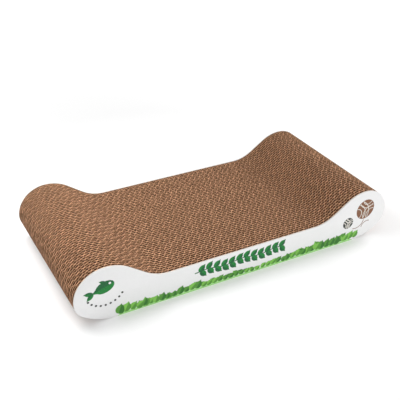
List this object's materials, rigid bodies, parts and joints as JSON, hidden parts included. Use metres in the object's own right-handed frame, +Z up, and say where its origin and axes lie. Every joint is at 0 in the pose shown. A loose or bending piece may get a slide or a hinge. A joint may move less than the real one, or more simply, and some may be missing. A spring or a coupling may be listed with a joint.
{
  "type": "cardboard cat scratcher",
  "caption": "Low lounge scratcher of upright fluted cardboard strips glued side by side, with two raised rounded ends and a pale smooth panel on each long side.",
  "frame": {"origin": "on the floor under the middle of the object, at the middle of its underside", "axes": "+X along the length towards one raised end, +Y across the stack from the front panel to the back panel, +Z up"},
  "size_m": [0.48, 0.22, 0.078],
  "materials": {
    "panel_board": "matte",
    "kraft_board": "matte"
  },
  "bodies": {
    "root": {"front_panel": "panel_board", "back_panel": "panel_board", "board_01": "kraft_board", "board_02": "kraft_board", "board_03": "kraft_board", "board_04": "kraft_board", "board_05": "kraft_board", "board_06": "kraft_board", "board_07": "kraft_board", "board_08": "kraft_board", "board_09": "kraft_board", "board_10": "kraft_board", "board_11": "kraft_board", "board_12": "kraft_board", "board_13": "kraft_board", "board_14": "kraft_board", "board_15": "kraft_board", "board_16": "kraft_board", "board_17": "kraft_board", "board_18": "kraft_board", "board_19": "kraft_board", "board_20": "kraft_board", "board_21": "kraft_board", "board_22": "kraft_board", "board_23": "kraft_board", "board_24": "kraft_board", "board_25": "kraft_board", "board_26": "kraft_board", "board_27": "kraft_board", "board_28": "kraft_board", "board_29": "kraft_board", "board_30": "kraft_board", "board_31": "kraft_board", "board_32": "kraft_board", "board_33": "kraft_board", "board_34": "kraft_board", "board_35": "kraft_board", "board_36": "kraft_board", "board_37": "kraft_board", "board_38": "kraft_board", "board_39": "kraft_board", "board_40": "kraft_board", "board_41": "kraft_board", "board_42": "kraft_board", "board_43": "kraft_board", "board_44": "kraft_board", "board_45": "kraft_board", "board_46": "kraft_board", "board_47": "kraft_board", "board_48": "kraft_board", "board_49": "kraft_board", "board_50": "kraft_board", "board_51": "kraft_board", "board_52": "kraft_board", "board_53": "kraft_board", "board_54": "kraft_board"}
  },
  "joints": []
}
